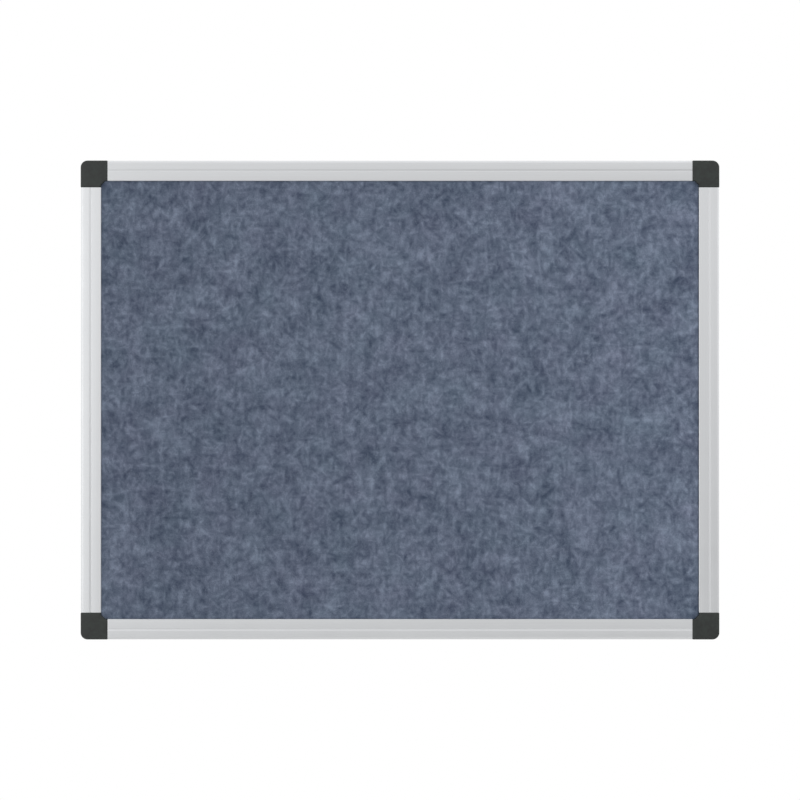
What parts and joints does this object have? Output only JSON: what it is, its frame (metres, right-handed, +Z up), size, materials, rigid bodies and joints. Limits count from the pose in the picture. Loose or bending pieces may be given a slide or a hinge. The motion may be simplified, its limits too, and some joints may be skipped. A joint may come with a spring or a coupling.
{
  "type": "noticeboard",
  "caption": "Wall-hung felt noticeboard in a silver extruded frame, with dark corner caps that pull off over hidden wall screws.",
  "frame": {"origin": "the middle of the wall plane, which the backs of the frame and corner bodies lie on", "axes": "+X to the right of the person who reads the board, +Z up, -Y out of the felt towards that person"},
  "size_m": [0.6, 0.0155, 0.45],
  "materials": {
    "anodised_aluminium": "satin anodised",
    "charcoal_abs": "fine moulded grain",
    "blue_grey_felt": "heathered needle felt",
    "softboard": "soft fibreboard, bare",
    "grey_board": "grey board, calendered",
    "zinc_plated_steel": "bright zinc plate"
  },
  "bodies": {
    "board": {"rail_top": "anodised_aluminium", "rail_right": "anodised_aluminium", "rail_bottom": "anodised_aluminium", "rail_left": "anodised_aluminium", "corner_body_top_left": "charcoal_abs", "corner_body_top_right": "charcoal_abs", "corner_body_bottom_right": "charcoal_abs", "corner_body_bottom_left": "charcoal_abs", "felt_facing": "blue_grey_felt", "softboard_core": "softboard", "backing_sheet": "grey_board", "rail_screw_top_1": "zinc_plated_steel", "rail_screw_top_2": "zinc_plated_steel", "rail_screw_right_1": "zinc_plated_steel", "rail_screw_right_2": "zinc_plated_steel", "rail_screw_bottom_1": "zinc_plated_steel", "rail_screw_bottom_2": "zinc_plated_steel", "rail_screw_left_1": "zinc_plated_steel", "rail_screw_left_2": "zinc_plated_steel"},
    "cap_top_left": {"corner_cap_top_left": "charcoal_abs"},
    "cap_top_right": {"corner_cap_top_right": "charcoal_abs"},
    "cap_bottom_right": {"corner_cap_bottom_right": "charcoal_abs"},
    "cap_bottom_left": {"corner_cap_bottom_left": "charcoal_abs"}
  },
  "joints": [
    {"name": "pull_off_cap_top_left", "type": "slide", "parent": "board", "child": "cap_top_left", "axis": [0, -1, 0], "range_m": [0, 0.03]},
    {"name": "pull_off_cap_top_right", "type": "slide", "parent": "board", "child": "cap_top_right", "axis": [0, -1, 0], "range_m": [0, 0.03]},
    {"name": "pull_off_cap_bottom_right", "type": "slide", "parent": "board", "child": "cap_bottom_right", "axis": [0, -1, 0], "range_m": [0, 0.03]},
    {"name": "pull_off_cap_bottom_left", "type": "slide", "parent": "board", "child": "cap_bottom_left", "axis": [0, -1, 0], "range_m": [0, 0.03]}
  ]
}
